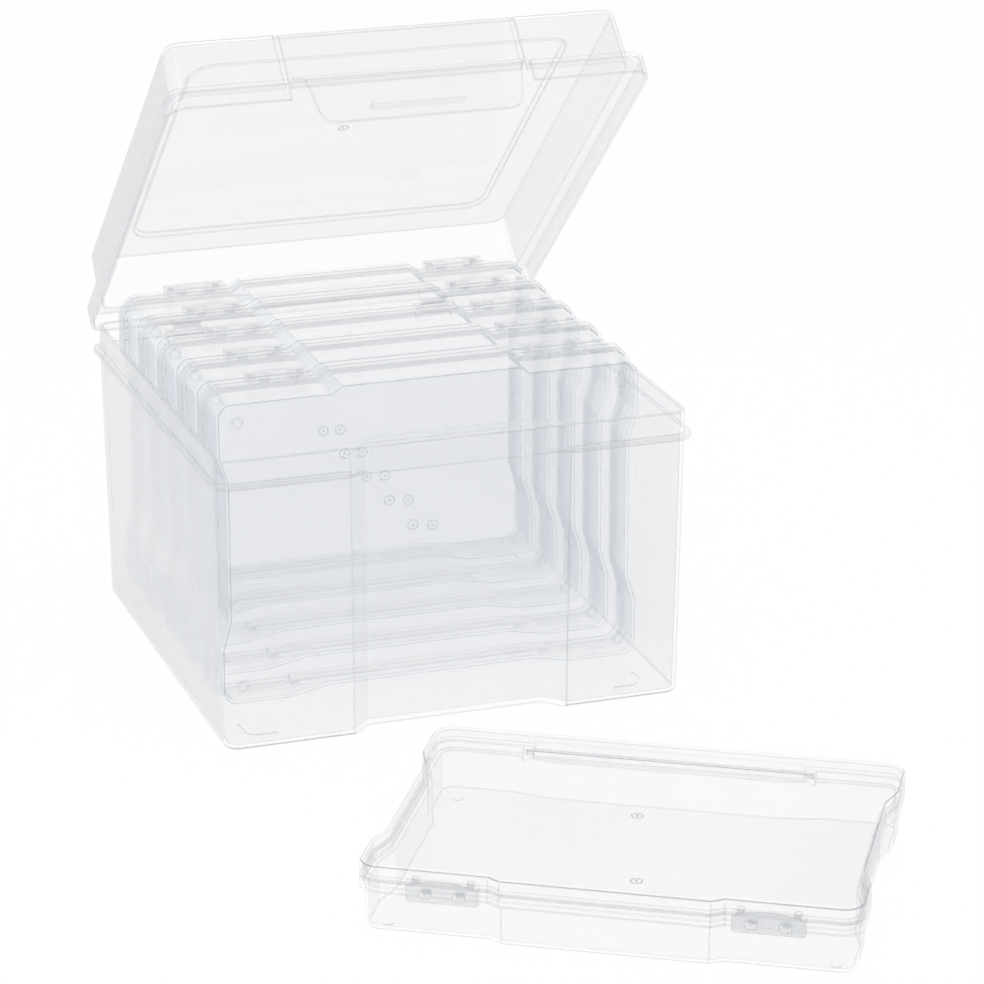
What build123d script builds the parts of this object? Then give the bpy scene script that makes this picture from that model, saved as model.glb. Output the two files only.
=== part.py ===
from build123d import *
from math import atan2, degrees
import os

# A clear carrying box that holds six flat snap-shut cases, each for a stack of
# 5 x 7 inch prints. Millimetres, +Z up, X across the front, -Y towards the user.
# The origin is the middle of the outer box's flat underside.

# ---- prints that one case holds
PRINT_LENGTH = 178.0
PRINT_WIDTH = 127.0

# ---- one flat case, lying on its tray with the latches towards -Y
CASE_LENGTH = 199.7
CASE_DEPTH = 145.2          # hinge edge to the latch edge beside a latch
CASE_HEIGHT = 29.2
CASE_WALL = 1.5
CASE_CORNER = 9.0
CASE_FOOT_HEIGHT = 0.6
CASE_FOOT_RADIUS = 2.4
CASE_FOOT_INSET = 11.0
TRAY_WALL_HEIGHT = 17.6     # up to the underside of the tray's rim band
TRAY_BAND_HEIGHT = 5.0
BAND_STEP = 2.2             # how far the band stands out from the wall below it
TRAY_BOTTOM_ROUND = 2.0
LID_EDGE_ROUND = 2.2
PARTING_GAP = 0.3           # between the closed lid and the tray
LIP_HEIGHT = 1.3
LIP_THICKNESS = 1.0
LIP_CLEARANCE = 0.4

# wavy outline of a case
NOSE_REACH = 3.2            # middle of the latch edge, which stands forward
NOSE_GAP = 7.9              # from a latch to the middle part
NOSE_SLOPE = 5.0
GRIP_START = 26.5           # finger recess in each side, measured from the latch edge
GRIP_END = 116.0
GRIP_SLOPE = 12.5
GRIP_DEPTH = 3.8
BOW_ROUND = 14.0            # where the wall below the band bows in at the hinge

# hinge of a case: a barrel along the lid's rear wall, with a pin at each end
CASE_HINGE_INSET = 42.05    # end of the hinge recess from the case's side
CASE_HINGE_RECESS = 3.6
CASE_BARREL_RADIUS = 1.6
CASE_BARREL_DROP = 2.6      # axis below the top of the tray's rim band
CASE_PIN_RADIUS = 1.2
CASE_PIN_LENGTH = 3.0
CASE_LUG_WIDTH = 4.2
CASE_LUG_GAP = 0.4
PIN_CLEARANCE = 0.05
HINGE_RELIEF = 1.4          # lid's rear corners are cut this much above the tray
HINGE_RELIEF_DEPTH = 8.0

# snap latch of a case
LATCH_INSET = 35.85         # middle of a latch from the case's side
LATCH_WIDTH = 29.0
LATCH_DROP = 0.6            # its lower edge below the tray's band
LATCH_PLATE = 1.5
LATCH_GAP = 0.3
LATCH_SKIN = 0.6
LATCH_AXIS_RISE = 2.6       # axis above the top of the tray's rim band
LATCH_PIVOT_RADIUS = 0.7
LATCH_HEAD_RADIUS = 1.2
LATCH_EAR_RADIUS = 1.15
LATCH_EAR_WIDTH = 2.4
LATCH_EAR_OFFSET = 11.0
LATCH_SLOT_GAP = 0.3
LATCH_ARCH = 0.8            # how much the head falls away towards its ends
WINDOW_OFFSET = 6.7
WINDOW_WIDTH = 4.6
WINDOW_HEIGHT = 3.0
WINDOW_RISE = 1.3           # window's lower edge above the band's lower edge
TOOTH_GAP = 0.5
TOOTH_REACH = 1.6

# ---- outer box
CASE_COUNT = 6
STANDING_CASES = 5
CASE_PITCH = 35.0
BOX_WALL = 1.8
BOX_FLOOR = 2.0
BOX_SIDE_ROOM = 7.65        # rim's outer side to a centred case
BOX_FRONT_ROOM = 39.5       # rim's front to the frontmost standing case
ROW_REAR_GAP = 5.3          # rim's rear to the rearmost standing case
CASES_ABOVE_RIM = 17.3      # how far the standing cases rise over the rim
BOX_CORNER = 6.5
BOX_DRAFT_X = 2.0
BOX_DRAFT_Y = 1.0
BOX_EDGE_ROUND = 2.0
FLANGE_DROP = 10.5          # top of the flange below the rim
FLANGE_THICKNESS = 2.0
FLANGE_REACH = 2.8
HAND_RECESS_INSET = 57.2    # recess edge from the box's side
HAND_RECESS_SHIFT = 1.8     # middle of the recess to the right of the box's middle
HAND_RECESS_DEPTH = 10.5
HAND_RECESS_SLOPE = 10.5
HAND_RECESS_ROUND = 4.0
STACK_GROOVE_INSET = 13.5
STACK_GROOVE_ARM = 15.0
STACK_GROOVE_WIDTH = 1.6
STACK_GROOVE_DEPTH = 0.8
STACK_GROOVE_ROUND = 7.0

# ---- outer lid, drawn closed
LID_RISE = 28.0             # lid's top above the rim
LID_PANEL = 1.6
LID_WALL = 1.5
LID_CORNER = 7.5
LID_TOP_ROUND = 2.5
LID_RIM_GAP = 1.3           # skirt to rim, sideways
LID_SEAT_GAP = 0.5          # shoulder above the rim
SKIRT_WALL = 1.4
SKIRT_DROP = 8.3            # skirt's lower edge below the rim
SHOULDER_THICKNESS = 1.5
LID_INSET = 5.3             # upper wall inside the skirt's outer face, at the shoulder
LID_DRAFT = 1.0
LID_REAR_SHIFT = 0.6        # upper walls sit this much towards the hinge
PANEL_INSET_X = 21.5        # sunk field in the lid's top, from the rim's outline
PANEL_INSET_Y = 26.0
PANEL_SINK = 1.2
PANEL_ROUND = 9.0
SLIT_WIDTH = 2.0

# front latch flap of the outer lid
FLAP_INSET = 53.5           # middle of the slit beside the flap, from the box's side
FLAP_FOLD_INSET = 2.2       # fold line behind the top of the front wall
FLAP_FOLD_GAP = 0.3
FLAP_SEAT_GAP = 0.9
FLAP_WALL = 1.6
TAB_REACH = 7.8             # tab's outer face in front of the rim
TAB_DROP = 23.5             # tab's lower edge below the rim
TAB_TOP_HALF_WIDTH = 49.0
TAB_BOTTOM_HALF_WIDTH = 45.0
TAB_ROUND = 7.0
TAB_FLARE = 4.5
CATCH_HALF_WIDTH = 20.8
CATCH_HEIGHT = 2.2
CATCH_DROP = 0.5            # catch below the flange's underside
CATCH_GAP = 0.35            # catch to the front of the box, sprung out
FLAP_SNAP_ANGLE = 1.9

# hinge of the outer lid
HINGE_SETBACK = 6.5         # axis behind the rear of the rim
HINGE_DROP = 11.0           # axis below the rim
HINGE_INSET = 45.5          # middle of a hinge from the box's side
HINGE_ROD_RADIUS = 1.6
HINGE_EAR_RADIUS = 2.8
HINGE_EAR_WIDTH = 3.0
HINGE_EAR_SPAN = 20.0       # between the outer faces of a pair of ears
HINGE_SIDE_GAP = 0.5
HINGE_MOUTH = 2.2           # slot that snaps over the rod

# ---- how the pieces stand
LID_OPEN_ANGLE = 42.0
ROW_OFFSET = 1.5            # the row of cases is pushed to the right
CASE_FLOOR_GAP = 0.4
TABLE_CASE_X = 17.0
TABLE_CASE_Y = -284.0
TABLE_CASE_TURN = -31.3

# ---- worked out from the sizes above
BAND_BASE = TRAY_WALL_HEIGHT
BAND_TOP = BAND_BASE + TRAY_BAND_HEIGHT
CASE_HINGE_HALF_WIDTH = CASE_LENGTH / 2 - CASE_HINGE_INSET
LATCH_OFFSET = CASE_LENGTH / 2 - LATCH_INSET
NOSE_HALF_WIDTH = LATCH_OFFSET - LATCH_WIDTH / 2 - NOSE_GAP
LATCH_EDGE = -CASE_DEPTH / 2
HINGE_EDGE = CASE_DEPTH / 2
CASE_AXIS_Y = HINGE_EDGE - CASE_BARREL_RADIUS
CASE_AXIS_Z = BAND_TOP - CASE_BARREL_DROP
LATCH_AXIS_Z = BAND_TOP + LATCH_AXIS_RISE
LATCH_AXIS_Y = LATCH_EDGE - LATCH_GAP - LATCH_HEAD_RADIUS
LATCH_FRONT = LATCH_AXIS_Y - LATCH_EAR_RADIUS - LATCH_SLOT_GAP - LATCH_SKIN
NOSE_EDGE = LATCH_EDGE - NOSE_REACH

CASE_STAND_Z = BOX_FLOOR + CASE_FLOOR_GAP
ROW_DEPTH = (STANDING_CASES - 1) * CASE_PITCH + CASE_HEIGHT
BOX_WIDTH = CASE_LENGTH + 2 * BOX_SIDE_ROOM
BOX_DEPTH = ROW_REAR_GAP + ROW_DEPTH + BOX_FRONT_ROOM
BOX_HEIGHT = CASE_STAND_Z + CASE_DEPTH + NOSE_REACH - CASES_ABOVE_RIM
HAND_RECESS_HALF_WIDTH = BOX_WIDTH / 2 - HAND_RECESS_INSET
STACK_GROOVE_OFFSET_X = BOX_WIDTH / 2 - STACK_GROOVE_INSET
STACK_GROOVE_OFFSET_Y = BOX_DEPTH / 2 - STACK_GROOVE_INSET
HINGE_STATION = BOX_WIDTH / 2 - HINGE_INSET
LID_TOP = BOX_HEIGHT + LID_RISE
PANEL_HALF_WIDTH = BOX_WIDTH / 2 - PANEL_INSET_X
PANEL_HALF_DEPTH = BOX_DEPTH / 2 - PANEL_INSET_Y
RIM_FRONT = -BOX_DEPTH / 2
ROW_FRONT = RIM_FRONT + BOX_FRONT_ROOM
RIM_REAR = BOX_DEPTH / 2
FLANGE_TOP = BOX_HEIGHT - FLANGE_DROP
FLANGE_BASE = FLANGE_TOP - FLANGE_THICKNESS
HINGE_Y = RIM_REAR + HINGE_SETBACK
HINGE_Z = BOX_HEIGHT - HINGE_DROP
SKIRT_MARGIN = LID_RIM_GAP + SKIRT_WALL
SKIRT_WIDTH = BOX_WIDTH + 2 * SKIRT_MARGIN
SKIRT_DEPTH = BOX_DEPTH + 2 * SKIRT_MARGIN
SKIRT_BASE = BOX_HEIGHT - SKIRT_DROP
SHOULDER_BASE = BOX_HEIGHT + LID_SEAT_GAP
SHOULDER_TOP = SHOULDER_BASE + SHOULDER_THICKNESS
UPPER_WIDTH = SKIRT_WIDTH - 2 * LID_INSET
UPPER_DEPTH = SKIRT_DEPTH - 2 * LID_INSET
UPPER_FRONT = LID_REAR_SHIFT - UPPER_DEPTH / 2
FOLD_Y = UPPER_FRONT + LID_DRAFT + FLAP_FOLD_INSET
FOLD_Z = LID_TOP - LID_PANEL / 2
FLAP_HALF_WIDTH = BOX_WIDTH / 2 - FLAP_INSET - SLIT_WIDTH / 2


# ---------------------------------------------------------------- small helpers
def block(x0, x1, y0, y1, z0, z1):
    """A plain block between two corners."""
    size = (x1 - x0, y1 - y0, z1 - z0)
    centre = ((x0 + x1) / 2, (y0 + y1) / 2, (z0 + z1) / 2)
    return Pos(*centre) * Box(*size)


def bar(x0, x1, y, z, radius):
    """A round bar along X."""
    return Pos((x0 + x1) / 2, y, z) * Rot(0, 90, 0) * Cylinder(radius, x1 - x0)


def prism_along_x(points, x0, x1):
    """A polygon of (y, z) points carried from x0 to x1."""
    wire = Polyline(*[(x0, y, z) for y, z in points], close=True)
    return extrude(make_face(wire), x1 - x0, dir=(1, 0, 0))


def drafted_block(width, depth, corner, z0, z1, grow_x=0.0, grow_y=0.0, shift=0.0):
    """A rounded block whose top is larger than its base by twice the growth."""
    base = Pos(0, shift, z0) * RectangleRounded(width, depth, corner)
    top = Pos(0, shift, z1) * RectangleRounded(width + 2 * grow_x, depth + 2 * grow_y, corner)
    return loft([base, top], ruled=True)


def mirrored(shape):
    """A shape with its mirror image across the middle plane."""
    return shape + shape.mirror(Plane.YZ)


# ---------------------------------------------------------------- flat case
def case_outline(inset, hinge_recess):
    """Plan of a case, moved in by an inset from the outline of its bands."""
    side = CASE_LENGTH / 2
    half = [
        (NOSE_HALF_WIDTH, NOSE_EDGE),
        (NOSE_HALF_WIDTH + NOSE_SLOPE, LATCH_EDGE),
        (side, LATCH_EDGE),
        (side, LATCH_EDGE + GRIP_START),
        (side - GRIP_DEPTH, LATCH_EDGE + GRIP_START + GRIP_SLOPE),
        (side - GRIP_DEPTH, LATCH_EDGE + GRIP_END - GRIP_SLOPE),
        (side, LATCH_EDGE + GRIP_END),
        (side, HINGE_EDGE),
    ]
    if hinge_recess:
        half.append((CASE_HINGE_HALF_WIDTH, HINGE_EDGE))
        half.append((CASE_HINGE_HALF_WIDTH, HINGE_EDGE - CASE_HINGE_RECESS))
    points = half + [(-x, y) for x, y in reversed(half)]
    plan = make_face(Polyline(*points, close=True))
    corners = [v for v in plan.vertices() if abs(abs(v.X) - side) < 0.01
               and min(abs(v.Y - LATCH_EDGE), abs(v.Y - HINGE_EDGE)) < 0.01]
    plan = fillet(corners, CASE_CORNER)
    waves = [v for v in plan.vertices() if is_wave(v, side)]
    plan = fillet(waves, GRIP_SLOPE / 3)
    if inset > 0:
        plan = offset(plan, -inset, kind=Kind.ARC)
    return plan


def is_wave(vertex, side):
    """Whether a corner of the plan belongs to the finger recess in a side."""
    steps = (GRIP_START, GRIP_START + GRIP_SLOPE, GRIP_END - GRIP_SLOPE, GRIP_END)
    near_side = abs(vertex.X) > side - GRIP_DEPTH - 0.01
    return near_side and min(abs(vertex.Y - LATCH_EDGE - s) for s in steps) < 0.01


def tray_wall_outline(inset):
    """Plan of the tray below its band: the hinge edge bows in smoothly."""
    plan = case_outline(BAND_STEP, False)
    edge = HINGE_EDGE - BAND_STEP
    bow = edge - CASE_HINGE_RECESS
    near = CASE_HINGE_HALF_WIDTH - CASE_CORNER
    far = CASE_HINGE_HALF_WIDTH + CASE_CORNER
    points = [(-far - 9, edge + 1), (-far - 9, edge), (-far, edge), (-near, bow),
              (near, bow), (far, edge), (far + 9, edge), (far + 9, edge + 1)]
    cut = make_face(Polyline(*points, close=True))
    bends = [v for v in cut.vertices() if near - 0.1 < abs(v.X) < far + 0.1]
    plan = plan - fillet(bends, BOW_ROUND)
    return offset(plan, -inset, kind=Kind.ARC) if inset > 0 else plan


def case_tray():
    """The tray: a wall, a rim band that stands out, hinge lugs and latch teeth."""
    base = CASE_FOOT_HEIGHT
    wall = extrude(Pos(0, 0, base) * tray_wall_outline(0.0), BAND_BASE - base + 0.5)
    wall = fillet(wall.faces().sort_by(Axis.Z)[0].edges(), TRAY_BOTTOM_ROUND)
    band = extrude(Pos(0, 0, BAND_BASE) * case_outline(0.0, True), TRAY_BAND_HEIGHT)
    hollow = extrude(Pos(0, 0, base + CASE_WALL) * tray_wall_outline(CASE_WALL), CASE_HEIGHT)
    ledge = BAND_BASE + CASE_WALL
    band_hollow = extrude(Pos(0, 0, ledge) * case_outline(CASE_WALL, True), CASE_HEIGHT)
    tray = wall + band - hollow - band_hollow
    tray += mirrored(hinge_lug())
    tray -= mirrored(bar(CASE_HINGE_HALF_WIDTH - 1, CASE_HINGE_HALF_WIDTH + CASE_PIN_LENGTH + 0.4,
                         CASE_AXIS_Y, CASE_AXIS_Z, CASE_PIN_RADIUS + PIN_CLEARANCE))
    for side in (-1, 1):
        for window in (-1, 1):
            tray += Pos(side * LATCH_OFFSET + window * WINDOW_OFFSET, 0, 0) * latch_tooth()
    for x in (-1, 1):
        for y in (-1, 1):
            foot_x = x * (CASE_LENGTH / 2 - CASE_FOOT_INSET)
            foot_y = y * (CASE_DEPTH / 2 - CASE_FOOT_INSET)
            foot = Pos(foot_x, foot_y, CASE_FOOT_HEIGHT) * Cylinder(
                CASE_FOOT_RADIUS, 2 * CASE_FOOT_HEIGHT)
            tray += foot
    return tray


def hinge_lug():
    """Solid lug in the tray's band that takes one hinge pin."""
    x0 = CASE_HINGE_HALF_WIDTH
    inner = HINGE_EDGE - CASE_HINGE_RECESS - CASE_WALL
    return block(x0, x0 + CASE_LUG_WIDTH, inner, HINGE_EDGE, BAND_BASE, BAND_TOP)


def latch_tooth():
    """Tooth on the tray's band, sloped on top, that fills a window of the latch."""
    lower = BAND_BASE + WINDOW_RISE + TOOTH_GAP
    upper = lower + WINDOW_HEIGHT - 2 * TOOTH_GAP
    points = [(LATCH_EDGE + 0.2, lower), (LATCH_EDGE - TOOTH_REACH, lower),
              (LATCH_EDGE - TOOTH_REACH, lower + (upper - lower) / 3), (LATCH_EDGE + 0.2, upper)]
    half = WINDOW_WIDTH / 2 - TOOTH_GAP
    return prism_along_x(points, -half, half)


def case_lid():
    """The lid: a flat top, a band, a locating lip, the hinge barrel and latch ears."""
    base = BAND_TOP + PARTING_GAP
    shell = extrude(Pos(0, 0, base) * case_outline(0.0, False), CASE_HEIGHT - base)
    shell = fillet(shell.faces().sort_by(Axis.Z)[-1].edges(), LID_EDGE_ROUND)
    inside = case_outline(CASE_WALL, False)
    lid = shell - extrude(Pos(0, 0, base) * inside, CASE_HEIGHT - CASE_WALL - base)
    relief_y = HINGE_EDGE - HINGE_RELIEF_DEPTH
    relief = block(-CASE_LENGTH, CASE_LENGTH, relief_y, HINGE_EDGE + 1,
                   base - 1, BAND_TOP + HINGE_RELIEF)
    lid -= relief
    lid += locating_lip(base)
    lid += case_barrel()
    for side in (-1, 1):
        for end in (-1, 1):
            lid += Pos(side * LATCH_OFFSET + end * LATCH_EAR_OFFSET, 0, 0) * latch_ear()
    return lid


def locating_lip(base):
    """Lip inside the tray's band, along the front and sides."""
    gap = CASE_WALL + LIP_CLEARANCE
    outer = case_outline(gap, False)
    inner = case_outline(gap + LIP_THICKNESS, False)
    reach = base + 1.0 - (BAND_TOP - LIP_HEIGHT)
    ring = extrude(Pos(0, 0, BAND_TOP - LIP_HEIGHT) * (outer - inner), reach)
    web = extrude(Pos(0, 0, base + 0.2) * (case_outline(CASE_WALL / 2, False) - inner), 0.8)
    rear = HINGE_EDGE - 3 * HINGE_RELIEF_DEPTH
    cut = block(-CASE_LENGTH, CASE_LENGTH, rear, HINGE_EDGE + 1, 0, CASE_HEIGHT)
    return ring + web - cut


def case_barrel():
    """Barrel under the lid's rear wall, with a pin on each end."""
    half = CASE_HINGE_HALF_WIDTH - CASE_LUG_GAP
    wall = block(-half, half, CASE_AXIS_Y, HINGE_EDGE, CASE_AXIS_Z, BAND_TOP + HINGE_RELIEF + 1)
    barrel = bar(-half, half, CASE_AXIS_Y, CASE_AXIS_Z, CASE_BARREL_RADIUS)
    tip = CASE_HINGE_HALF_WIDTH + CASE_PIN_LENGTH
    pins = bar(-tip, tip, CASE_AXIS_Y, CASE_AXIS_Z, CASE_PIN_RADIUS)
    return wall + barrel + pins


def latch_ear():
    """Ear on the lid's band that carries the latch's pivot."""
    half = LATCH_EAR_WIDTH / 2
    eye = bar(-half, half, LATCH_AXIS_Y, LATCH_AXIS_Z, LATCH_EAR_RADIUS)
    web = block(-half, half, LATCH_AXIS_Y, LATCH_EDGE + 0.3,
                LATCH_AXIS_Z - LATCH_EAR_RADIUS, LATCH_AXIS_Z + LATCH_EAR_RADIUS)
    bore = bar(-half - 1, half + 1, LATCH_AXIS_Y, LATCH_AXIS_Z,
               LATCH_PIVOT_RADIUS + PIN_CLEARANCE)
    return eye + web - bore


def case_latch():
    """A latch plate with two windows, an arched head and its pivot."""
    half = LATCH_WIDTH / 2
    back = LATCH_EDGE - LATCH_GAP
    foot = BAND_BASE - LATCH_DROP
    plate = block(-half, half, back - LATCH_PLATE, back, foot, LATCH_AXIS_Z)
    front = block(-half, half, LATCH_FRONT, LATCH_AXIS_Y, LATCH_AXIS_Z - LATCH_EAR_RADIUS,
                  LATCH_AXIS_Z + LATCH_HEAD_RADIUS)
    head = bar(-half, half, LATCH_AXIS_Y, LATCH_AXIS_Z, LATCH_HEAD_RADIUS)
    latch = plate + front + head
    for end in (-1, 1):
        slot = LATCH_EAR_WIDTH / 2 + LATCH_SLOT_GAP
        x = end * LATCH_EAR_OFFSET
        reach = LATCH_EAR_RADIUS + LATCH_SLOT_GAP
        latch -= block(x - slot, x + slot, LATCH_AXIS_Y - reach, back + 1,
                       LATCH_AXIS_Z - reach, LATCH_AXIS_Z + reach)
        window = block(end * WINDOW_OFFSET - WINDOW_WIDTH / 2, end * WINDOW_OFFSET + WINDOW_WIDTH / 2,
                       LATCH_FRONT - 1, back + 1, BAND_BASE + WINDOW_RISE,
                       BAND_BASE + WINDOW_RISE + WINDOW_HEIGHT)
        latch -= window
    pivot = bar(-half + 0.5, half - 0.5, LATCH_AXIS_Y, LATCH_AXIS_Z, LATCH_PIVOT_RADIUS)
    return latch + pivot - latch_arch(half)


def latch_arch(half):
    """What lies above the arched head of a latch."""
    top = LATCH_AXIS_Z + LATCH_HEAD_RADIUS
    arc = ThreePointArc((-half - 0.5, top - LATCH_ARCH), (0, top), (half + 0.5, top - LATCH_ARCH))
    over = Polyline((half + 0.5, top - LATCH_ARCH), (half + 0.5, top + 2),
                    (-half - 0.5, top + 2), (-half - 0.5, top - LATCH_ARCH))
    cut = extrude(make_face(arc + over), 10, both=True)
    return Pos(0, LATCH_AXIS_Y, 0) * Rot(90, 0, 0) * cut


# ---------------------------------------------------------------- outer box
def hand_recess(grow, z0, z1, front_skin=0.0):
    """The finger room in the middle of the front, grown by a wall thickness."""
    wide = HAND_RECESS_HALF_WIDTH + 1.4 * grow
    narrow = HAND_RECESS_HALF_WIDTH - HAND_RECESS_SLOPE + grow / 2
    back = RIM_FRONT + HAND_RECESS_DEPTH + grow
    front = RIM_FRONT + front_skin
    start = front if front_skin else front - 5
    ends = [(-wide, start), (-wide, front)] if not front_skin else [(-wide, front)]
    points = ends + [(-narrow, back), (narrow, back)] + [(-x, y) for x, y in reversed(ends)]
    plan = make_face(Polyline(*points, close=True))
    rounded = [v for v in plan.vertices() if abs(v.Y - back) < 0.01]
    plan = fillet(rounded, HAND_RECESS_ROUND + grow)
    return extrude(Pos(HAND_RECESS_SHIFT, 0, z0) * plan, z1 - z0)


def outer_box():
    """The box: drafted walls, a flange, the hand recess, stacking grooves and hinge ears."""
    bottom_width = BOX_WIDTH - 2 * BOX_DRAFT_X
    bottom_depth = BOX_DEPTH - 2 * BOX_DRAFT_Y
    outside = drafted_block(bottom_width, bottom_depth, BOX_CORNER, 0, BOX_HEIGHT,
                            BOX_DRAFT_X, BOX_DRAFT_Y)
    outside = fillet(outside.faces().sort_by(Axis.Z)[0].edges(), BOX_EDGE_ROUND)
    rise = BOX_FLOOR / BOX_HEIGHT
    inner_width = bottom_width - 2 * BOX_WALL
    inner_depth = bottom_depth - 2 * BOX_WALL
    inside = drafted_block(inner_width + 2 * BOX_DRAFT_X * rise, inner_depth + 2 * BOX_DRAFT_Y * rise,
                           BOX_CORNER - BOX_WALL, BOX_FLOOR, BOX_HEIGHT,
                           BOX_DRAFT_X * (1 - rise), BOX_DRAFT_Y * (1 - rise))
    box = outside + flange()
    box -= inside - hand_recess(BOX_WALL, 0, BOX_HEIGHT)
    box -= hand_recess(0.0, -1, FLANGE_BASE)
    box -= hand_recess(0.0, FLANGE_BASE - 1, BOX_HEIGHT - BOX_WALL, front_skin=BOX_WALL)
    box -= stacking_grooves()
    for side in (-1, 1):
        box += Pos(side * HINGE_STATION, 0, 0) * box_hinge()
    return box


def flange():
    """Ledge around the box under the lid's skirt, left out over the hand recess."""
    ring = Pos(0, 0, FLANGE_BASE) * RectangleRounded(
        BOX_WIDTH + 2 * FLANGE_REACH, BOX_DEPTH + 2 * FLANGE_REACH, BOX_CORNER + FLANGE_REACH)
    core = Pos(0, 0, FLANGE_BASE) * RectangleRounded(
        BOX_WIDTH - 2 * BOX_WALL, BOX_DEPTH - 2 * BOX_WALL, BOX_CORNER - BOX_WALL)
    ledge = extrude(ring - core, FLANGE_THICKNESS)
    half = HAND_RECESS_HALF_WIDTH
    gap = block(-half, half, RIM_FRONT - 2 * FLANGE_REACH, RIM_FRONT + BOX_WALL / 2,
                FLANGE_BASE - 1, FLANGE_TOP + 1)
    return ledge - Pos(HAND_RECESS_SHIFT, 0, 0) * gap


def stacking_grooves():
    """L-shaped grooves in the underside, one near each corner."""
    wide, deep = 2 * STACK_GROOVE_OFFSET_X, 2 * STACK_GROOVE_OFFSET_Y
    shrink = 2 * STACK_GROOVE_WIDTH
    ring = (RectangleRounded(wide, deep, STACK_GROOVE_ROUND)
            - RectangleRounded(wide - shrink, deep - shrink, STACK_GROOVE_ROUND - STACK_GROOVE_WIDTH))
    cross = Rectangle(wide - 2 * STACK_GROOVE_ARM, 2 * deep)
    cross += Rectangle(2 * wide, deep - 2 * STACK_GROOVE_ARM)
    return extrude(ring - cross, STACK_GROOVE_DEPTH)


def box_hinge():
    """Two ears behind the flange with a rod between them."""
    half = HINGE_EAR_SPAN / 2
    root = RIM_REAR - BOX_WALL / 2
    top = FLANGE_TOP - 0.4
    profile = [(root, FLANGE_BASE - 4.0), (root, top), (HINGE_Y, top),
               (HINGE_Y, HINGE_Z - HINGE_EAR_RADIUS + 0.4)]
    hinge = bar(-half, half, HINGE_Y, HINGE_Z, HINGE_ROD_RADIUS)
    for x0 in (-half, half - HINGE_EAR_WIDTH):
        x1 = x0 + HINGE_EAR_WIDTH
        hinge += prism_along_x(profile, x0, x1)
        hinge += bar(x0, x1, HINGE_Y, HINGE_Z, HINGE_EAR_RADIUS)
    return hinge


# ---------------------------------------------------------------- outer lid
def lid_outside():
    """The lid's upper walls and top as a filled block."""
    body = drafted_block(UPPER_WIDTH, UPPER_DEPTH, LID_CORNER, SHOULDER_BASE, LID_TOP,
                         -LID_DRAFT, -LID_DRAFT, LID_REAR_SHIFT)
    return fillet(body.faces().sort_by(Axis.Z)[-1].edges(), LID_TOP_ROUND)


def lid_inside(grow=0.0):
    """The room under the lid's top."""
    top = LID_TOP - LID_PANEL
    return drafted_block(UPPER_WIDTH - 2 * LID_WALL + 2 * grow, UPPER_DEPTH - 2 * LID_WALL + 2 * grow,
                         LID_CORNER - LID_WALL, SHOULDER_BASE - 0.5, top,
                         -LID_DRAFT, -LID_DRAFT, LID_REAR_SHIFT)


def sunk_field(z0, height, grow):
    """The field of the lid's top that lies lower than its edge."""
    plan = RectangleRounded(2 * (PANEL_HALF_WIDTH + grow), 2 * (PANEL_HALF_DEPTH + grow), PANEL_ROUND + grow)
    return extrude(Pos(0, LID_REAR_SHIFT, z0) * plan, height)


def lid_shell():
    """Skirt, shoulder, upper walls and top in one, before the flap is cut free."""
    skirt = Pos(0, 0, SKIRT_BASE) * RectangleRounded(SKIRT_WIDTH, SKIRT_DEPTH, BOX_CORNER + SKIRT_MARGIN)
    skirt = extrude(skirt, SHOULDER_TOP - SKIRT_BASE)
    skirt = fillet(skirt.faces().sort_by(Axis.Z)[-1].edges(), 1.0)
    room = Pos(0, 0, SKIRT_BASE) * RectangleRounded(
        SKIRT_WIDTH - 2 * SKIRT_WALL, SKIRT_DEPTH - 2 * SKIRT_WALL, BOX_CORNER + LID_RIM_GAP)
    room = extrude(room, SHOULDER_BASE - SKIRT_BASE)
    shell = skirt + lid_outside() - room
    shell += sunk_field(LID_TOP - PANEL_SINK - LID_PANEL, PANEL_SINK + LID_PANEL / 2, LID_PANEL)
    under = lid_inside() - sunk_field(LID_TOP - PANEL_SINK - LID_PANEL, 4 * LID_PANEL, LID_PANEL)
    return shell - under - sunk_field(LID_TOP - PANEL_SINK, 2 * PANEL_SINK, 0.0)


def outer_lid():
    """The lid, drawn closed: shell, slits beside the flap, hinge knuckles."""
    half = FLAP_HALF_WIDTH + SLIT_WIDTH
    opening = block(-half, half, RIM_FRONT - 2 * TAB_REACH, FOLD_Y + FLAP_FOLD_GAP / 2,
                    SKIRT_BASE - 1, LID_TOP + 1)
    lid = lid_shell() - opening
    for side in (-1, 1):
        lid += Pos(side * HINGE_STATION, 0, 0) * lid_knuckle()
    return lid


def lid_knuckle():
    """Open-mouthed knuckle that snaps over the box's hinge rod."""
    half = HINGE_EAR_SPAN / 2 - HINGE_EAR_WIDTH - HINGE_SIDE_GAP
    skirt_rear = SKIRT_DEPTH / 2
    profile = [(skirt_rear - SKIRT_WALL / 2, SKIRT_BASE), (skirt_rear - SKIRT_WALL / 2, SHOULDER_BASE - 1),
               (skirt_rear + 1.0, SHOULDER_BASE - 1), (HINGE_Y + HINGE_EAR_RADIUS - 0.1, HINGE_Z),
               (HINGE_Y - HINGE_EAR_RADIUS + 0.3, HINGE_Z + 0.5)]
    knuckle = prism_along_x(profile, -half, half)
    knuckle += bar(-half, half, HINGE_Y, HINGE_Z, HINGE_EAR_RADIUS)
    knuckle -= bar(-half - 1, half + 1, HINGE_Y, HINGE_Z, HINGE_ROD_RADIUS + PIN_CLEARANCE)
    mouth = block(-half - 1, half + 1, HINGE_Y - HINGE_MOUTH / 2, HINGE_Y + HINGE_MOUTH / 2,
                  HINGE_Z - 2 * HINGE_EAR_RADIUS, HINGE_Z)
    return knuckle - mouth


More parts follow.
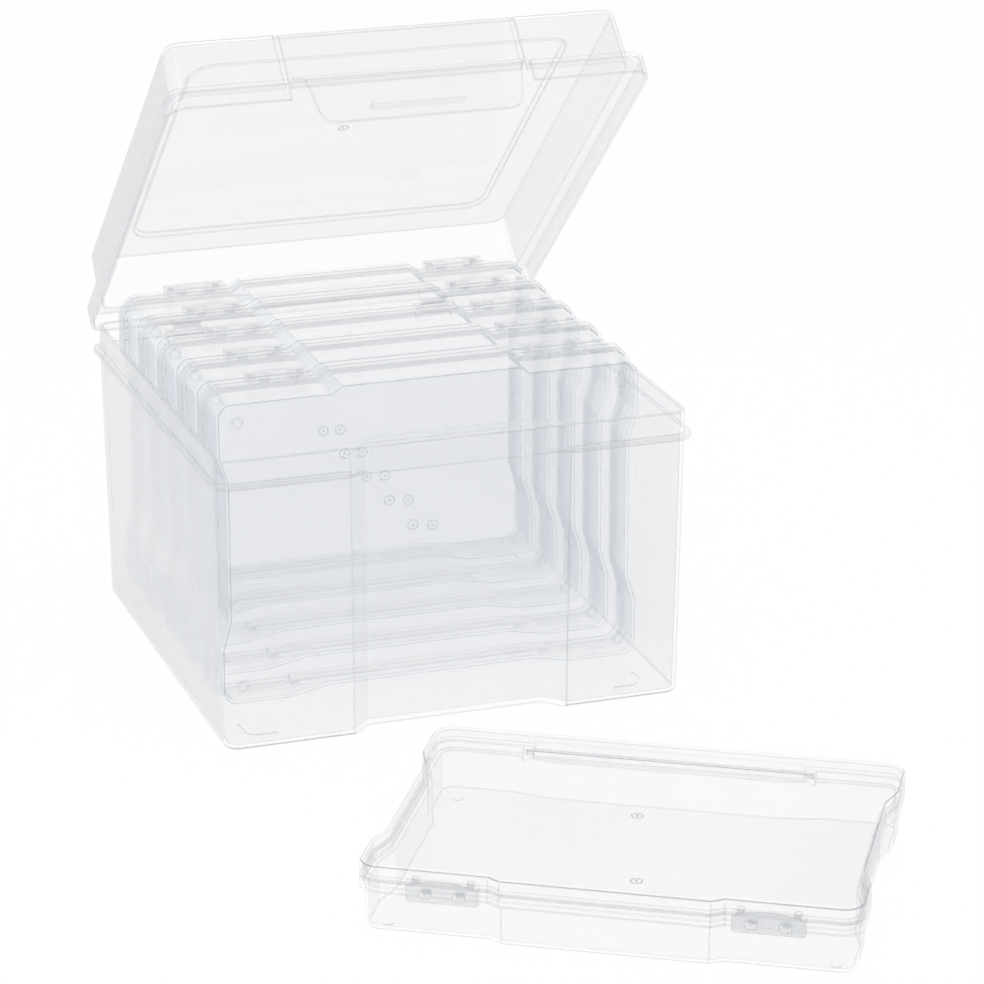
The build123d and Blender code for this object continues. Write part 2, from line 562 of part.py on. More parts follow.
def lid_flap():
    """The front latch flap: a strip of the lid's edge and wall, a shoulder and the tab."""
    half = FLAP_HALF_WIDTH
    upper = lid_outside() - lid_inside()
    strip = block(-half, half, RIM_FRONT - 2 * TAB_REACH, FOLD_Y - FLAP_FOLD_GAP / 2,
                  SHOULDER_BASE, LID_TOP + 1)
    return (upper & strip) + flap_tab()


def flap_tab():
    """Shoulder, flared tab and catch below the flap's wall."""
    face = RIM_FRONT - TAB_REACH
    base = BOX_HEIGHT + FLAP_SEAT_GAP
    top = base + FLAP_WALL
    root = UPPER_FRONT + LID_WALL
    skirt_face = RIM_FRONT - SKIRT_MARGIN
    shoulder = [(root, top), (skirt_face, top), (face, top - TAB_FLARE),
                (face, BOX_HEIGHT - TAB_DROP), (face + FLAP_WALL, BOX_HEIGHT - TAB_DROP),
                (face + FLAP_WALL, base - TAB_FLARE), (skirt_face + 0.6, base), (root, base)]
    tab = prism_along_x(shoulder, -FLAP_HALF_WIDTH, FLAP_HALF_WIDTH)
    tab = tab & tab_outline(face, root, top)
    catch_top = FLANGE_BASE - CATCH_DROP
    catch = block(-CATCH_HALF_WIDTH, CATCH_HALF_WIDTH, face + FLAP_WALL / 2, RIM_FRONT - CATCH_GAP,
                  catch_top - CATCH_HEIGHT, catch_top)
    return tab + catch


def tab_outline(face, root, top):
    """Front view of the tab: it narrows downwards and has rounded lower corners."""
    low = BOX_HEIGHT - TAB_DROP
    knee = top - TAB_FLARE
    points = [(FLAP_HALF_WIDTH, top + 1), (FLAP_HALF_WIDTH, top - FLAP_WALL / 2),
              (TAB_TOP_HALF_WIDTH, knee), (TAB_BOTTOM_HALF_WIDTH, low)]
    points = points + [(-x, z) for x, z in reversed(points)]
    front = make_face(Polyline(*points, close=True))
    front = fillet([v for v in front.vertices() if abs(v.Y - low) < 0.01], TAB_ROUND)
    plate = extrude(front, 2 * (root - face), both=True)
    return Pos(0, face, 0) * Rot(90, 0, 0) * plate


# ---------------------------------------------------------------- placing and writing
def standing(number):
    """Place of a case in the box: on its hinge edge, tray face forward, number 1 at the back."""
    y = ROW_FRONT + (STANDING_CASES - number) * CASE_PITCH
    return Pos(ROW_OFFSET, y, CASE_STAND_Z + HINGE_EDGE) * Rot(-90, 0, 0)


def on_table():
    """Place of the last case, lying on the table in front of the box."""
    return Pos(TABLE_CASE_X, TABLE_CASE_Y, 0) * Rot(0, 0, TABLE_CASE_TURN)


def write(shape, name):
    """Write one named piece."""
    export_step(shape, f"parts/{name}.step")
    print(f"{name}: {shape.volume / 1000:.2f} cm3")


def main():
    os.makedirs("parts", exist_ok=True)
    write(outer_box(), "outer_box")
    opened = Pos(0, HINGE_Y, HINGE_Z) * Rot(-LID_OPEN_ANGLE, 0, 0) * Pos(0, -HINGE_Y, -HINGE_Z)
    write(opened * outer_lid(), "outer_lid")
    write(opened * lid_flap(), "lid_flap")
    tray, lid, latch = case_tray(), case_lid(), case_latch()
    for number in range(1, CASE_COUNT + 1):
        place = standing(number) if number <= STANDING_CASES else on_table()
        write(place * tray, f"case_{number}_tray")
        write(place * lid, f"case_{number}_lid")
        write(place * Pos(-LATCH_OFFSET, 0, 0) * latch, f"case_{number}_latch_left")
        write(place * Pos(LATCH_OFFSET, 0, 0) * latch, f"case_{number}_latch_right")


main()
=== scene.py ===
import math

import bpy
import bmesh
from mathutils import Matrix, Vector


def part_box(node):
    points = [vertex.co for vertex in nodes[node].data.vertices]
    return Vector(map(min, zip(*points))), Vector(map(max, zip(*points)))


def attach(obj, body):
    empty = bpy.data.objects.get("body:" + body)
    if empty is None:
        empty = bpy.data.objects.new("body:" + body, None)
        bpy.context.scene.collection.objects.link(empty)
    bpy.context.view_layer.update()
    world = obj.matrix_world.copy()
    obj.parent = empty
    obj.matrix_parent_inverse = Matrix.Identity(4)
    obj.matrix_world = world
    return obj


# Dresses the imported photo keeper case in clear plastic, adds its small moulded details, and sets
# the camera, floor and light. Lengths are in metres unless a comment says otherwise.

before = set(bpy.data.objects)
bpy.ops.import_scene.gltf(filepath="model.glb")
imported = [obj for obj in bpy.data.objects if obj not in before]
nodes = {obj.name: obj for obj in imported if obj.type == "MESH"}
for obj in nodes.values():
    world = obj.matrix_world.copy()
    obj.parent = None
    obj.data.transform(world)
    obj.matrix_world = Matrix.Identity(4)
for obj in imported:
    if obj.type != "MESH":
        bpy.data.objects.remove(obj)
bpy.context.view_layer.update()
scene = bpy.context.scene
MM = 0.001
QUARTER_TURN = math.pi / 2
TABLE_TURN = math.radians(31.3)     # how the case on the table is turned about the vertical
LID_OPEN = math.radians(42.0)       # how far the outer lid stands open about its hinge

# ------------------------------------------------------------------ camera
AZIMUTH, ELEVATION = math.radians(-19.06), math.radians(19.53)
DISTANCE, SIDEWAYS, UPWARDS = 1.8681, 0.0497, 0.0682    # from the origin, along the view's axes
SENSOR, LENS = 36.0, 146.66                             # in mm
CLIP_NEAR, CLIP_FAR = 0.05, 50.0
CLEAR_SHEETS = 96                   # clear surfaces that one line of sight may pass

back = Vector((math.sin(AZIMUTH) * math.cos(ELEVATION),
               -math.cos(AZIMUTH) * math.cos(ELEVATION), math.sin(ELEVATION)))
right = Vector((math.cos(AZIMUTH), math.sin(AZIMUTH), 0.0))
up = back.cross(right)
camera = bpy.data.objects.new("camera", bpy.data.cameras.new("camera"))
scene.collection.objects.link(camera)
camera.location = back * DISTANCE + right * SIDEWAYS + up * UPWARDS
camera.rotation_mode = "QUATERNION"
camera.rotation_quaternion = (-back).to_track_quat("-Z", "Y")
camera.data.sensor_width = SENSOR
camera.data.lens = LENS
camera.data.clip_start = CLIP_NEAR
camera.data.clip_end = CLIP_FAR
scene.camera = camera

scene.view_settings.view_transform = "Standard"
scene.cycles.transparent_max_bounces = CLEAR_SHEETS

# ------------------------------------------------------------------ colours
BRIGHT = (1.0, 1.0, 1.0)
# WHITE is the teeth's own white and the colour of the painted highlight beside edges and on ledges.
WHITE = (0.95, 0.95, 0.95)
HAZE = (0.76, 0.77, 0.79)
CASE_HAZE = (0.71, 0.76, 0.84)
LATCH_HAZE = (0.60, 0.62, 0.64)
ROW_LATCH_HAZE = (0.88, 0.89, 0.91)
# The edge colours are painted shade: the thin dark line along edges.
EDGE_LINE_SHADE = (0.10, 0.11, 0.12)
CASE_EDGE_LINE_SHADE = (0.14, 0.16, 0.19)
INSIDE_TINT = (0.992, 0.993, 0.995)     # of the far side of a sheet, seen from within
SHADE_TINT = (0.985, 0.987, 0.99)       # of the light that a sheet lets through


def opaque(colour):
    """A colour as a shader socket wants it."""
    return (*colour, 1.0)


# ------------------------------------------------------------------ node helpers
class Nodes:
    """An emptied node tree, with short calls for the nodes used here."""

    def __init__(self, tree):
        self.tree = tree
        tree.nodes.clear()

    def add(self, kind, inputs=None, **settings):
        node = self.tree.nodes.new(kind)
        for key, value in settings.items():
            setattr(node, key, value)
        for key, value in (inputs or {}).items():
            if isinstance(value, bpy.types.NodeSocket):
                self.tree.links.new(value, node.inputs[key])
            else:
                node.inputs[key].default_value = value
        return node

    def math(self, operation, a, b, clamp=False):
        node = self.add("ShaderNodeMath", {0: a, 1: b}, operation=operation, use_clamp=clamp)
        return node.outputs[0]

    def dot(self, a, b):
        return self.add("ShaderNodeVectorMath", {0: a, 1: b}, operation="DOT_PRODUCT").outputs["Value"]

    def ramp(self, value, low, high, to_low=0.0, to_high=1.0):
        node = self.add("ShaderNodeMapRange", {"Value": value, "From Min": low, "From Max": high,
                                               "To Min": to_low, "To Max": to_high},
                        interpolation_type="SMOOTHSTEP")
        return node.outputs[0]

    def noise(self, vector, scale, detail):
        node = self.add("ShaderNodeTexNoise", {"Vector": vector, "Scale": scale, "Detail": detail})
        return node.outputs[0]

    def blend(self, factor, a, b):
        node = self.add("ShaderNodeMix", {"Factor": factor, "A": a, "B": b}, data_type="RGBA")
        return node.outputs["Result"]

    def shader(self, kind, inputs):
        return self.add(kind, inputs).outputs[0]

    def mix(self, factor, a, b):
        return self.shader("ShaderNodeMixShader", {0: factor, 1: a, 2: b})


def new_material(name):
    """A new material and its emptied node tree."""
    material = bpy.data.materials.new(name)
    material.use_nodes = True
    return material, Nodes(material.node_tree)


# ------------------------------------------------------------------ clear plastic
# Waves of the moulded sheet. They vary its haze and roughness and bend its reflections.
FLOW_SCALE, RIPPLE_SCALE, WAVE_DETAIL = 9.0, 38.0, 1.0
FLOW_RANGE = (0.3, 0.7)
HAZE_VARIATION = 0.2
WAVE_STRENGTH, WAVE_DEPTH = 0.35, 1.0 * MM
ROUGHNESS = (0.24, 0.38)
PLASTIC_IOR = 1.35
# Flatness is 1 on a flat face and falls towards an edge. Each pair gives where a mask starts and where
# it is full. Of the pairs below, the first places the painted highlight beside an edge, the other two
# the dark line of painted shade. The smallest forms are nothing but edge, so the dark line leaves them
# out.
BEVEL_SAMPLES = 3
RIM_HIGHLIGHT = (0.998, 0.95)
SHARP_EDGE = (0.95, 0.83)
SMALLEST_FORM = (0.45, 0.62)
# Roll is how far a face leans to the roll axis. The dark line of painted shade on a rounded edge is a
# band of it.
ROLL_FADE, ROLL_DARKNESS = 0.1, 0.7
ROLL_END = (0.86, 0.76)
LEDGE_HIGHLIGHT = (0.90, 0.97)                # how level a face must be for the painted highlight of a pale ledge
GRAZE_POWER = 5.0
SHINE_FACE_ON, SHINE_GRAZING, SHINE_ROUGHNESS = 0.035, 0.72, 0.05
PAINTED_GLOW, PAINTED_GLOW_SHARE = 0.96, 0.75       # painted glow of the pale band beside edges: its brightness, and the share of the body it takes


def painted_edge_masks(tree, normal, own_normal, radius, roll_axis, roll_from):
    """Where the painted highlight lies, near an edge, and where the thin dark line of painted shade
    lies: along sharp edges and in the middle of rounded ones."""
    rounded = tree.add("ShaderNodeBevel", {"Radius": radius * MM}, samples=BEVEL_SAMPLES).outputs[0]
    flatness = tree.dot(rounded, normal)
    sharp = tree.math("MULTIPLY", tree.ramp(flatness, *SHARP_EDGE),
                      tree.ramp(flatness, *SMALLEST_FORM))
    roll = tree.dot(own_normal, roll_axis)
    round_shade_line = tree.math(
        "MULTIPLY", tree.ramp(roll, roll_from, roll_from + ROLL_FADE, 0.0, ROLL_DARKNESS),
        tree.ramp(roll, *ROLL_END))
    return tree.ramp(flatness, *RIM_HIGHLIGHT), tree.math("MAXIMUM", sharp, round_shade_line)


def clear_plastic(name, *, haze, haze_colour, rim, edge, line_shade_colour, graze, radius,
                  turn=(0.0, 0.0, 0.0), pale=0.0, roll_axis=(0.0, 0.0, 1.0), roll_from=0.55):
    """Clear moulded plastic: a faint haze face on, denser at grazing views, with a painted highlight
    in a pale band beside edges and on narrow ledges, part of it a painted glow, and a thin dark line
    of painted shade along edges. haze, rim, pale, edge and graze say how dense it is there. radius is
    the width of an edge in mm. turn brings the faces of a piece that stands at an angle back to its
    own axes. roll_axis and roll_from place the painted dark line of its rounded edges."""
    material, tree = new_material(name)
    texture = tree.add("ShaderNodeTexCoord").outputs
    geometry = tree.add("ShaderNodeNewGeometry").outputs
    flow = tree.noise(texture["Object"], FLOW_SCALE, WAVE_DETAIL)
    ripple = tree.noise(texture["Object"], RIPPLE_SCALE, WAVE_DETAIL)
    waves = tree.add("ShaderNodeBump", {"Height": ripple, "Strength": WAVE_STRENGTH,
                                        "Distance": WAVE_DEPTH}).outputs[0]

    own_normal = tree.add("ShaderNodeVectorRotate", {"Vector": texture["Normal"], "Rotation": turn},
                          rotation_type="EULER_XYZ").outputs[0]
    own_normal = tree.add("ShaderNodeVectorMath", {0: own_normal}, operation="ABSOLUTE").outputs[0]
    rim_highlight_mask, line_shade_mask = painted_edge_masks(tree, geometry["Normal"], own_normal, radius, roll_axis, roll_from)
    # Painted highlight: faces that lie level, up or down, turn pale.
    level = tree.add("ShaderNodeSeparateXYZ", {0: own_normal}).outputs[2]
    ledge_highlight_mask = tree.ramp(level, *LEDGE_HIGHLIGHT)
    facing = tree.add("ShaderNodeLayerWeight", {"Blend": 0.5}).outputs["Facing"]
    grazing = tree.math("POWER", facing, GRAZE_POWER)

    opacity = tree.math(
        "ADD", tree.ramp(flow, *FLOW_RANGE, (1 - HAZE_VARIATION) * haze, (1 + HAZE_VARIATION) * haze),
        tree.math("MULTIPLY", grazing, graze))
    # The sheet is denser in the pale band beside edges and on pale ledges (painted highlight) and
    # along the dark line (painted shade).
    for mask, density in ((rim_highlight_mask, rim), (ledge_highlight_mask, pale), (line_shade_mask, edge)):
        opacity = tree.math("MAXIMUM", opacity, tree.math("MULTIPLY", mask, density))
    # Painted highlight: how far the colour turns white beside edges and on level ledges.
    painted_highlight = tree.math("MAXIMUM", rim_highlight_mask, tree.math("MULTIPLY", ledge_highlight_mask, 1.0 if pale else 0.0))
    colour = tree.blend(painted_highlight, opaque(haze_colour), opaque(WHITE))
    # Painted shade: the thin dark line along edges.
    colour = tree.blend(line_shade_mask, colour, opaque(line_shade_colour))

    body = tree.shader("ShaderNodeBsdfPrincipled", {
        "Base Color": colour, "IOR": PLASTIC_IOR, "Normal": waves,
        "Roughness": tree.ramp(flow, *FLOW_RANGE, *ROUGHNESS)})
    # Painted glow: an emission shader brightens the pale band beside edges, though the sheet is no
    # lamp.
    glow = tree.shader("ShaderNodeEmission", {"Color": opaque(BRIGHT), "Strength": PAINTED_GLOW})
    painted_glow_band = tree.math("SUBTRACT", painted_highlight, line_shade_mask, clamp=True)
    body = tree.mix(tree.math("MULTIPLY", painted_glow_band, PAINTED_GLOW_SHARE), body, glow)
    through = tree.shader("ShaderNodeBsdfTransparent", {"Color": opaque(BRIGHT)})
    mirror = tree.shader("ShaderNodeBsdfGlossy", {"Roughness": SHINE_ROUGHNESS, "Normal": waves})
    shine = tree.math("ADD", tree.math("MULTIPLY", grazing, SHINE_GRAZING), SHINE_FACE_ON)
    outside = tree.mix(shine, tree.mix(opacity, through, body), mirror)

    inside = tree.shader("ShaderNodeBsdfTransparent", {"Color": opaque(INSIDE_TINT)})
    shade = tree.shader("ShaderNodeBsdfTransparent", {"Color": opaque(SHADE_TINT)})
    path = tree.add("ShaderNodeLightPath").outputs
    lights_others = tree.math("MAXIMUM", path["Is Shadow Ray"], path["Is Diffuse Ray"])
    seen = tree.mix(geometry["Backfacing"], outside, inside)
    tree.add("ShaderNodeOutputMaterial", {"Surface": tree.mix(lights_others, seen, shade)})
    return material


TO_TABLE = (0.0, 0.0, TABLE_TURN)
TO_LID = (LID_OPEN, 0.0, 0.0)
ALONG_ROW = (0.0, 1.0, 0.0)
NO_ROUND_LINE = 1.5                 # a roll that no face reaches
box_plastic = clear_plastic(
    "clear_box", haze=0.034, haze_colour=HAZE, rim=0.50, edge=0.88, line_shade_colour=EDGE_LINE_SHADE,
    graze=2.0, radius=1.4, roll_from=0.25)
lid_plastic = clear_plastic(
    "clear_lid", haze=0.018, haze_colour=HAZE, rim=0.40, edge=0.95, line_shade_colour=EDGE_LINE_SHADE,
    graze=3.0, radius=1.3, turn=TO_LID)
flap_plastic = clear_plastic(
    "clear_flap", haze=0.034, haze_colour=HAZE, rim=0.35, edge=0.85, line_shade_colour=EDGE_LINE_SHADE,
    graze=1.6, radius=1.2, turn=TO_LID, roll_from=NO_ROUND_LINE)
case_plastic = clear_plastic(
    "clear_case", haze=0.009, haze_colour=CASE_HAZE, rim=0.50, edge=0.72, line_shade_colour=CASE_EDGE_LINE_SHADE,
    graze=2.6, radius=1.5, pale=0.30, roll_axis=ALONG_ROW)
table_case_plastic = clear_plastic(
    "clear_table_case", haze=0.009, haze_colour=CASE_HAZE, rim=0.40, edge=0.95, line_shade_colour=EDGE_LINE_SHADE,
    graze=0.28, radius=1.1, turn=TO_TABLE)
latch_plastic = clear_plastic(
    "clear_latch", haze=0.02, haze_colour=LATCH_HAZE, rim=0.06, edge=0.22, line_shade_colour=EDGE_LINE_SHADE,
    graze=0.30, radius=0.4, turn=TO_TABLE)
cover_plastic = clear_plastic(
    "clear_latch_cover", haze=0.34, haze_colour=LATCH_HAZE, rim=0.34, edge=1.0, line_shade_colour=EDGE_LINE_SHADE,
    graze=1.5, radius=0.9, turn=TO_TABLE)
row_latch_plastic = clear_plastic(
    "clear_row_latch", haze=0.10, haze_colour=ROW_LATCH_HAZE, rim=0.45, edge=0.70,
    line_shade_colour=CASE_EDGE_LINE_SHADE, graze=0.30, radius=0.8)
# Its wide edge band puts painted highlight and painted glow over most of each tooth.
tooth_plastic = clear_plastic(
    "clear_tooth", haze=0.80, haze_colour=WHITE, rim=0.90, edge=0.30, line_shade_colour=CASE_EDGE_LINE_SHADE,
    graze=0.20, radius=3.0, turn=TO_TABLE)

SHELL_PLASTICS = {"outer_box": box_plastic, "outer_lid": lid_plastic, "lid_flap": flap_plastic}


def plastic_of(name):
    """The plastic of a CAD node."""
    if name in SHELL_PLASTICS:
        return SHELL_PLASTICS[name]
    on_table = "case_6" in name
    if "latch" in name:
        return latch_plastic if on_table else row_latch_plastic
    return table_case_plastic if on_table else case_plastic


for name in nodes:
    mesh = nodes[name].data
    mesh.materials.clear()
    mesh.materials.append(plastic_of(name))

# ------------------------------------------------------------------ places of the cases and the lid
CASES_IN_ROW = 5
CASE_HALF_DEPTH, CASE_TOP, CASE_FOOT = 72.6 * MM, 29.2 * MM, 0.6 * MM
TABLE_CASE_SPOT = (0.017, -0.284, 0.0)
TABLE_CASE_PLACE = Matrix.Translation(TABLE_CASE_SPOT) @ Matrix.Rotation(-TABLE_TURN, 4, "Z")
LID_HINGE = Vector((0.0, 0.1135, 0.1225))
LID_FIELD_TOP = 160.3 * MM
LID_PLACE = (Matrix.Translation(LID_HINGE) @ Matrix.Rotation(-LID_OPEN, 4, "X")
             @ Matrix.Translation(-LID_HINGE))


def row_case_place(number):
    """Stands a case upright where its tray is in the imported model."""
    low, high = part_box(f"case_{number}_tray")
    middle = ((low[0] + high[0]) / 2, low[1], low[2] + CASE_HALF_DEPTH)
    return Matrix.Translation(middle) @ Matrix.Rotation(-QUARTER_TURN, 4, "X")


def detail_piece(name, builder, body, material, smooth=False):
    """Make a piece of a filled bmesh, riding on a body."""
    bmesh.ops.recalc_face_normals(builder, faces=builder.faces)
    if builder.calc_volume(signed=True) < 0:
        bmesh.ops.reverse_faces(builder, faces=builder.faces)
    mesh = bpy.data.meshes.new(name)
    builder.to_mesh(mesh)
    builder.free()
    for polygon in mesh.polygons:
        polygon.use_smooth = smooth
    piece = bpy.data.objects.new(name, mesh)
    scene.collection.objects.link(piece)
    mesh.materials.append(material)
    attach(piece, body)


# ------------------------------------------------------------------ gate marks
GATE_RING, GATE_GROOVE, GATE_NUB = 2.7 * MM, 1.9 * MM, 0.7 * MM     # radii
GATE_ROUND, GATE_RISE = 0.1 * MM, 0.3 * MM
GATE_SEGMENTS = 28


def gate_profiles():
    """Half sections of a gate mark as (radius, height): a low ring, and a nub that starts and
    ends on the axis. Both are sunk a little into the face. Heights are shares of the rise."""
    foot, middle = -0.2 * GATE_RISE, (GATE_RING + GATE_GROOVE) / 2
    ring = [(GATE_RING, foot), (GATE_RING - GATE_ROUND, 0.7 * GATE_RISE), (middle, GATE_RISE),
            (GATE_GROOVE + GATE_ROUND, 0.6 * GATE_RISE), (GATE_GROOVE, foot)]
    nub = [(0.0, foot), (GATE_NUB, foot), (GATE_NUB * 0.8, 0.9 * GATE_RISE), (0.0, 1.3 * GATE_RISE)]
    return ring, nub


def lathe(builder, profile, place):
    """Turn a half section about its own Z axis into a closed form, and put it at a place."""
    turns = [2 * math.pi * i / GATE_SEGMENTS for i in range(GATE_SEGMENTS)]
    rings = []
    for radius, height in profile:
        points = [Vector((radius * math.cos(a), radius * math.sin(a), height))
                  for a in (turns if radius else turns[:1])]
        rings.append([builder.verts.new(place @ point) for point in points])
    if profile[0][0]:
        rings.append(rings[0])
    for low, high in zip(rings, rings[1:]):
        for i in range(GATE_SEGMENTS):
            corners = []
            for ring, at in ((low, i), (low, i + 1), (high, i + 1), (high, i)):
                corner = ring[at % len(ring)]
                if corner not in corners:
                    corners.append(corner)
            builder.faces.new(corners)


def gate_marks(name, places, body, material):
    """The round marks where the plastic was fed into the mould."""
    builder = bmesh.new()
    for place in places:
        for profile in gate_profiles():
            lathe(builder, profile, place)
    detail_piece(name, builder, body, material, smooth=True)


def on_face(x, y, z, down=False):
    """Place on an upward face, or on a downward one."""
    turn = Matrix.Rotation(math.pi, 4, "X") if down else Matrix.Identity(4)
    return Matrix.Translation((x, y, z)) @ turn


# ------------------------------------------------------------------ latch fronts and teeth
# Across the case, towards its front (negative) and up, in the axes of a case lying flat.
LATCH_MIDDLE, LATCH_HALF, LATCH_FOOT = 64.0 * MM, 14.4 * MM, 17.1 * MM
LATCH_SHOULDER, LATCH_CROWN, LATCH_CORNER = 24.0 * MM, 26.3 * MM, 1.1 * MM
LATCH_BACK, LATCH_FRONT, LATCH_SOFTENING = -75.56 * MM, -76.14 * MM, 0.2 * MM
CORNER_STEPS, ARCH_STEPS, SOFTENING_STEPS = 4, 20, 2
ARCH_POWER = 2.4
WINDOW_MIDDLE, WINDOW_HALF = 6.7 * MM, 2.2 * MM
WINDOW_LOW, WINDOW_HIGH = 19.0 * MM, 21.8 * MM
TOOTH_HALF = 1.8 * MM
TOOTH_SECTION = ((-72.4, 19.35), (-74.25, 19.35), (-74.25, 20.15), (-72.4, 21.5))     # in mm
WELD = 0.01 * MM
SIDES = (("left", -LATCH_MIDDLE), ("right", LATCH_MIDDLE))


def latch_outline():
    """Front of a latch as (x, z): rounded lower corners and an arched top."""
    points = []
    for middle, start in ((-LATCH_HALF + LATCH_CORNER, 180), (LATCH_HALF - LATCH_CORNER, 270)):
        for step in range(CORNER_STEPS + 1):
            angle = math.radians(start + 90 * step / CORNER_STEPS)
            points.append((middle + LATCH_CORNER * math.cos(angle),
                           LATCH_FOOT + LATCH_CORNER * (1 + math.sin(angle))))
    for step in range(ARCH_STEPS + 1):
        along = 1 - 2 * step / ARCH_STEPS
        drop = (LATCH_CROWN - LATCH_SHOULDER) * abs(along) ** ARCH_POWER
        points.append((LATCH_HALF * along, LATCH_CROWN - drop))
    return points


def window_outline(middle):
    """One window of a latch as (x, z)."""
    low, high = middle - WINDOW_HALF, middle + WINDOW_HALF
    return [(low, WINDOW_LOW), (low, WINDOW_HIGH), (high, WINDOW_HIGH), (high, WINDOW_LOW)]


def softened_plate(name, loops, thickness):
    """A mesh of a flat plate with holes and softened edges, drawn as a curve."""
    outline = bpy.data.curves.new(name, "CURVE")
    outline.dimensions = "2D"
    outline.fill_mode = "BOTH"
    outline.extrude = thickness / 2 - LATCH_SOFTENING
    outline.bevel_depth = LATCH_SOFTENING
    outline.offset = -LATCH_SOFTENING
    outline.bevel_resolution = SOFTENING_STEPS
    for loop in loops:
        spline = outline.splines.new("POLY")
        spline.points.add(len(loop) - 1)
        for point, (x, z) in zip(spline.points, loop):
            point.co = (x, z, 0.0, 1.0)
        spline.use_cyclic_u = True
    drawn = bpy.data.objects.new(name + "_outline", outline)
    scene.collection.objects.link(drawn)
    evaluated = drawn.evaluated_get(bpy.context.evaluated_depsgraph_get())
    plate = bpy.data.meshes.new_from_object(evaluated)
    bpy.data.objects.remove(drawn)
    return plate


def latch_cover(name, place, body, material):
    """The smooth arched front of a latch with its two windows."""
    loops = (latch_outline(), window_outline(-WINDOW_MIDDLE), window_outline(WINDOW_MIDDLE))
    plate = softened_plate(name, loops, LATCH_BACK - LATCH_FRONT)
    builder = bmesh.new()
    builder.from_mesh(plate)
    bpy.data.meshes.remove(plate)
    bmesh.ops.remove_doubles(builder, verts=builder.verts, dist=WELD)
    upright = (Matrix.Translation((0.0, (LATCH_BACK + LATCH_FRONT) / 2, 0.0))
               @ Matrix.Rotation(QUARTER_TURN, 4, "X"))
    builder.transform(place @ upright)
    detail_piece(name, builder, body, material)


def latch_covers(case, place, material):
    """The fronts of a case's two latches, each riding on its latch."""
    for side, at in SIDES:
        latch = f"{case}_latch_{side}"
        latch_cover(latch + "_cover", place @ Matrix.Translation((at, 0.0, 0.0)), latch, material)


def latch_teeth(name, place, body, material):
    """The frosted faces of the teeth that show in the latch windows, white in their own haze and in
    the painted highlight and painted glow of the pale band beside their edges.
    """
    builder = bmesh.new()
    for _, at in SIDES:
        for window in (-WINDOW_MIDDLE, WINDOW_MIDDLE):
            rings = [[builder.verts.new(place @ Vector((at + window + end, y * MM, z * MM)))
                      for y, z in TOOTH_SECTION] for end in (-TOOTH_HALF, TOOTH_HALF)]
            for i in range(len(TOOTH_SECTION)):
                j = (i + 1) % len(TOOTH_SECTION)
                builder.faces.new((rings[0][i], rings[0][j], rings[1][j], rings[1][i]))
            for ring in rings:
                builder.faces.new(ring)
    detail_piece(name, builder, body, material)


# ------------------------------------------------------------------ the details in their places
TRAY_MARK = on_face(0.0, -4.1 * MM, CASE_FOOT, down=True)
LID_MARK = on_face(0.0, 5.7 * MM, CASE_TOP)
TABLE_LID_MARK = on_face(0.0, -4.0 * MM, CASE_TOP)
OUTER_LID_MARK = on_face(-3.2 * MM, -10.3 * MM, LID_FIELD_TOP)

for number in range(1, CASES_IN_ROW + 1):
    case = f"case_{number}"
    place = row_case_place(number)
    gate_marks(case + "_gate_marks", [place @ TRAY_MARK, place @ LID_MARK],
               case, case_plastic)
    latch_covers(case, place, row_latch_plastic)
gate_marks("case_6_tray_gate_mark", [TABLE_CASE_PLACE @ TRAY_MARK],
           "case_6_tray", table_case_plastic)
gate_marks("case_6_lid_gate_mark", [TABLE_CASE_PLACE @ TABLE_LID_MARK],
           "case_6_lid", table_case_plastic)
latch_covers("case_6", TABLE_CASE_PLACE, cover_plastic)
latch_teeth("case_6_latch_teeth", TABLE_CASE_PLACE, "case_6_tray", tooth_plastic)
gate_marks("outer_lid_gate_mark", [LID_PLACE @ OUTER_LID_MARK],
           "outer_lid", lid_plastic)

# ------------------------------------------------------------------ floor, backdrop and light
BACKDROP_LIGHT = 1.01
FLOOR_SIZE, FLOOR_HEIGHT = 30.0, -0.4 * MM
FLOOR_COLOUR = (0.93, 0.93, 0.93)
FLOOR_BLEND = 0.84                  # share of the floor that is seen as the backdrop's white
AMBIENT_COLOUR, AMBIENT_LIGHT = (0.98, 0.99, 1.0), 0.78
PANEL_SCALE, PANEL_DETAIL = 2.6, 0.0
PANEL_RANGE = (0.42, 0.58)
PANEL_LIGHT = (0.55, 1.05)          # what reflections see between the studio's panels, and on them


def white_where_seen(tree, shader, share):
    """What the camera, mirrors and glass see is this share of plain white light, the rest the
    lit shader."""
    path = tree.add("ShaderNodeLightPath").outputs
    seen = tree.math("MAXIMUM", path["Is Camera Ray"], path["Is Glossy Ray"])
    seen = tree.math("MAXIMUM", seen, path["Is Transmission Ray"])
    glow = tree.shader("ShaderNodeEmission", {"Color": opaque(BRIGHT), "Strength": BACKDROP_LIGHT})
    return tree.mix(tree.math("MULTIPLY", seen, share), shader, glow)


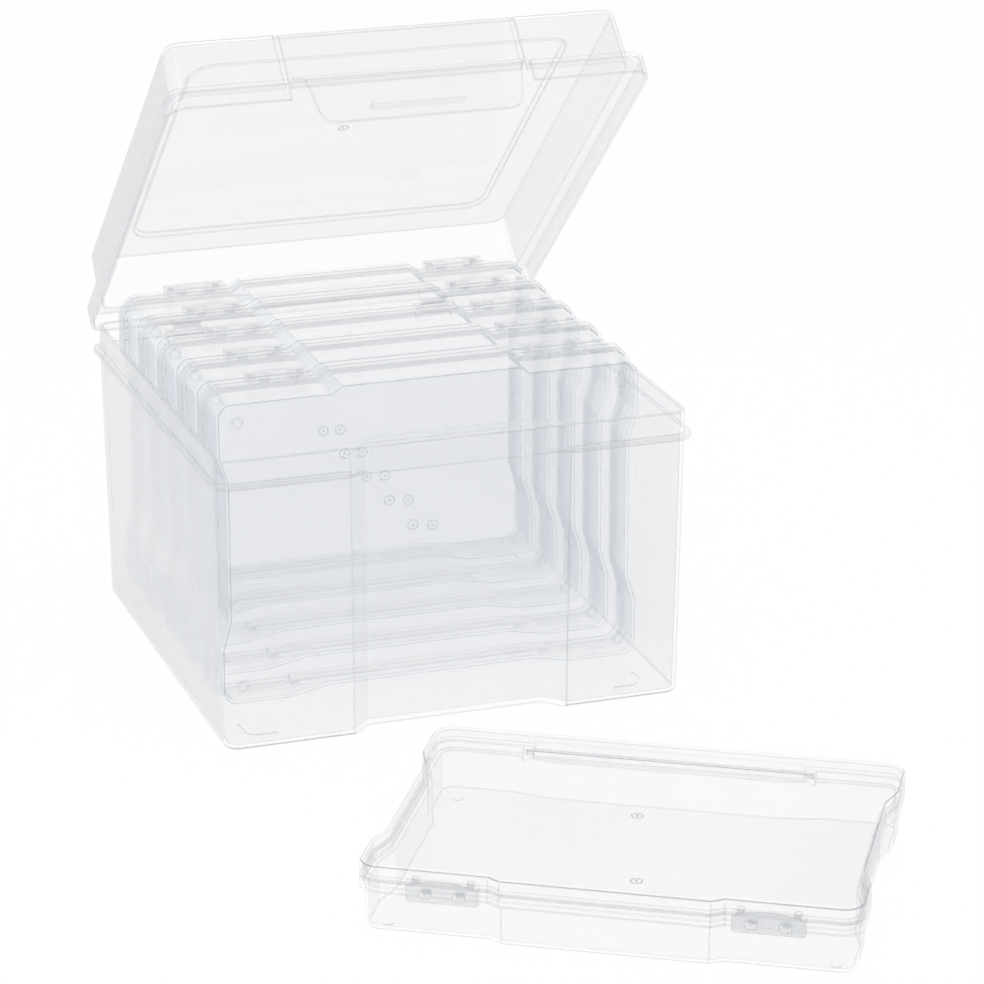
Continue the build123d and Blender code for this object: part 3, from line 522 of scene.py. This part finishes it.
def white_floor():
    """A wide plane that keeps a soft trace of the object's shadow."""
    material, tree = new_material("floor_white")
    matt = tree.shader("ShaderNodeBsdfDiffuse", {"Color": opaque(FLOOR_COLOUR)})
    tree.add("ShaderNodeOutputMaterial", {"Surface": white_where_seen(tree, matt, FLOOR_BLEND)})
    mesh = bpy.data.meshes.new("floor")
    reach = FLOOR_SIZE / 2
    corners = [(x, y, FLOOR_HEIGHT) for x, y in
               ((-reach, -reach), (reach, -reach), (reach, reach), (-reach, reach))]
    mesh.from_pydata(corners, [], [(0, 1, 2, 3)])
    mesh.materials.append(material)
    obj = bpy.data.objects.new("floor", mesh)
    scene.collection.objects.link(obj)


def studio_world():
    """Even light all round, a white backdrop, and bright panels that only reflections see."""
    world = bpy.data.worlds.new("world")
    scene.world = world
    world.use_nodes = True
    sky = Nodes(world.node_tree)
    path = sky.add("ShaderNodeLightPath").outputs
    direction = sky.add("ShaderNodeTexCoord").outputs["Generated"]
    panels = sky.noise(direction, PANEL_SCALE, PANEL_DETAIL)
    ambient = sky.shader("ShaderNodeBackground",
                         {"Color": opaque(AMBIENT_COLOUR), "Strength": AMBIENT_LIGHT})
    mirrored = sky.shader("ShaderNodeBackground", {
        "Color": opaque(BRIGHT), "Strength": sky.ramp(panels, *PANEL_RANGE, *PANEL_LIGHT)})
    backdrop = sky.shader("ShaderNodeBackground",
                          {"Color": opaque(BRIGHT), "Strength": BACKDROP_LIGHT})
    straight = sky.math("MAXIMUM", path["Is Camera Ray"], path["Is Transmission Ray"])
    around = sky.mix(path["Is Glossy Ray"], ambient, mirrored)
    sky.add("ShaderNodeOutputWorld", {"Surface": sky.mix(straight, around, backdrop)})


def area_light(name, place, target, size, power):
    """A rectangular lamp at a place, aimed at a target. The power is in watts."""
    lamp = bpy.data.lights.new(name, "AREA")
    lamp.shape = "RECTANGLE"
    lamp.size, lamp.size_y = size
    lamp.energy = power
    light = bpy.data.objects.new(name, lamp)
    scene.collection.objects.link(light)
    light.location = place
    light.rotation_mode = "QUATERNION"
    light.rotation_quaternion = (Vector(target) - Vector(place)).to_track_quat("-Z", "Y")


BOX_MIDDLE, FRONT_MIDDLE = (0.0, 0.0, 0.1), (0.0, -0.05, 0.1)
white_floor()
studio_world()
area_light("key", (-1.3, -0.9, 1.9), FRONT_MIDDLE, size=(1.2, 1.2), power=9.0)
area_light("fill", (1.6, -0.6, 1.3), FRONT_MIDDLE, size=(1.0, 1.4), power=4.0)
area_light("top", (0.1, 0.5, 2.2), BOX_MIDDLE, size=(1.6, 0.8), power=6.0)
